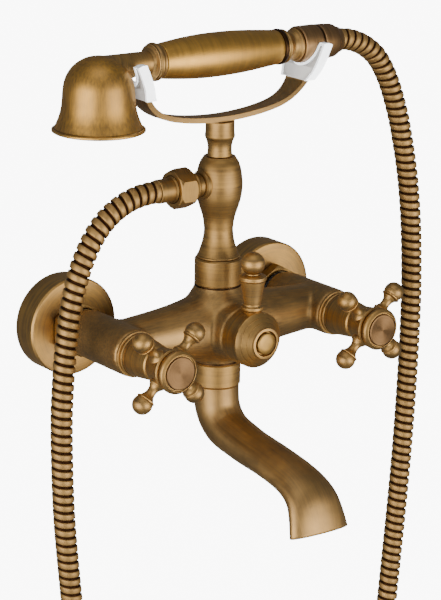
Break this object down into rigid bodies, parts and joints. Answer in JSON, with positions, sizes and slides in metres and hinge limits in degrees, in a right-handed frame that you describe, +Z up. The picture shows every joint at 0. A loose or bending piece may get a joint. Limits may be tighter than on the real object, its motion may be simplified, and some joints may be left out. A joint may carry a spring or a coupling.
{
  "type": "wall mounted bath faucet",
  "caption": "Two-handle bath and shower mixer on wall escutcheons, with cross handles, lever diverter, column cradle, telephone handset, hanging hose and swivel spout.",
  "frame": {"origin": "midway between the two wall inlets, on the finished wall plane", "axes": "+X from the hot inlet to the cold inlet, +Y into the wall, +Z up"},
  "size_m": [0.2821, 0.1884, 0.7286],
  "materials": {
    "antique_brass": "brushed antique brass under clear lacquer, darker in the grooves",
    "copper_brass": "satin, warmer and redder than the rest",
    "polished_brass": "brighter, nearly polished",
    "dark_brass": "dark brushed brass",
    "hose_brass": "stripwound ribs with dark grooves",
    "plain_brass": "unfinished machined brass, hidden",
    "steel": "machined stainless steel, hidden",
    "rubber": "black, matte, hidden",
    "ceramic": "lapped ceramic, hidden",
    "nylon": "translucent white nylon, satin",
    "grey_plastic": "dark grey spray plate"
  },
  "bodies": {
    "body": {"escutcheon_hot": "antique_brass", "eccentric_union_hot": "plain_brass", "union_nut_hot": "dark_brass", "inlet_washer_hot": "rubber", "valve_cartridge_hot": "plain_brass", "ceramic_disc_hot": "ceramic", "valve_bonnet_hot": "antique_brass", "escutcheon_cold": "antique_brass", "eccentric_union_cold": "plain_brass", "union_nut_cold": "dark_brass", "inlet_washer_cold": "rubber", "valve_cartridge_cold": "plain_brass", "ceramic_disc_cold": "ceramic", "valve_bonnet_cold": "antique_brass", "mixer_body": "antique_brass", "diverter_cartridge": "plain_brass", "column_collar": "antique_brass", "spout_collar": "antique_brass"},
    "handle_hot": {"handle_hub_hot": "antique_brass", "handle_arm_upper_right_hot": "antique_brass", "handle_arm_lower_right_hot": "antique_brass", "handle_arm_lower_left_hot": "antique_brass", "handle_arm_upper_left_hot": "antique_brass", "handle_cap_hot": "antique_brass", "handle_screw_hot": "steel", "valve_spindle_hot": "steel"},
    "handle_cold": {"handle_hub_cold": "antique_brass", "handle_arm_upper_right_cold": "antique_brass", "handle_arm_lower_right_cold": "antique_brass", "handle_arm_lower_left_cold": "antique_brass", "handle_arm_upper_left_cold": "antique_brass", "handle_cap_cold": "antique_brass", "handle_screw_cold": "steel", "valve_spindle_cold": "steel"},
    "diverter": {"diverter_knob": "antique_brass", "diverter_cap": "polished_brass", "diverter_lever": "antique_brass", "diverter_spindle": "steel"},
    "spout": {"spout": "antique_brass", "spout_o_ring": "rubber"},
    "column": {"column_body": "antique_brass", "column_o_ring": "rubber", "hose_outlet_nipple": "antique_brass", "hose_nut": "antique_brass", "hose_washer_outlet": "rubber", "hose_ferrule_outlet": "antique_brass", "cradle_stem": "antique_brass", "cradle_band": "antique_brass", "fork_sleeve_left": "nylon", "fork_sleeve_right": "nylon", "shower_hose": "hose_brass"},
    "handset": {"handset_head": "antique_brass", "spray_plate": "grey_plastic", "handset_barrel": "antique_brass", "handset_end_ring": "dark_brass", "handset_tail": "antique_brass", "handset_swivel_collar": "copper_brass", "hose_washer_handset": "rubber", "hose_end_nut": "copper_brass"}
  },
  "joints": [
    {"name": "hot_valve_turn", "type": "hinge", "parent": "body", "child": "handle_hot", "pos_m": [-0.075, -0.116, 0], "axis": [0, 1, 0], "range_deg": [0, 90]},
    {"name": "cold_valve_turn", "type": "hinge", "parent": "body", "child": "handle_cold", "pos_m": [0.075, -0.116, 0], "axis": [0, -1, 0], "range_deg": [0, 90]},
    {"name": "diverter_turn", "type": "hinge", "parent": "body", "child": "diverter", "pos_m": [0, -0.096, 0], "axis": [0, 1, 0], "range_deg": [0, 90]},
    {"name": "spout_swivel", "type": "hinge", "parent": "body", "child": "spout", "pos_m": [0, -0.0615, -0.0375], "axis": [0, 0, 1], "range_deg": [-60, 60]},
    {"name": "column_swivel", "type": "hinge", "parent": "body", "child": "column", "pos_m": [0, -0.0615, 0.0428], "axis": [0, 0, 1], "range_deg": [-15, 15]},
    {"name": "handset_lift", "type": "slide", "parent": "column", "child": "handset", "axis": [-0.3714, 0, 0.9285], "range_m": [0, 0.03], "deforming": ["shower_hose"]}
  ]
}
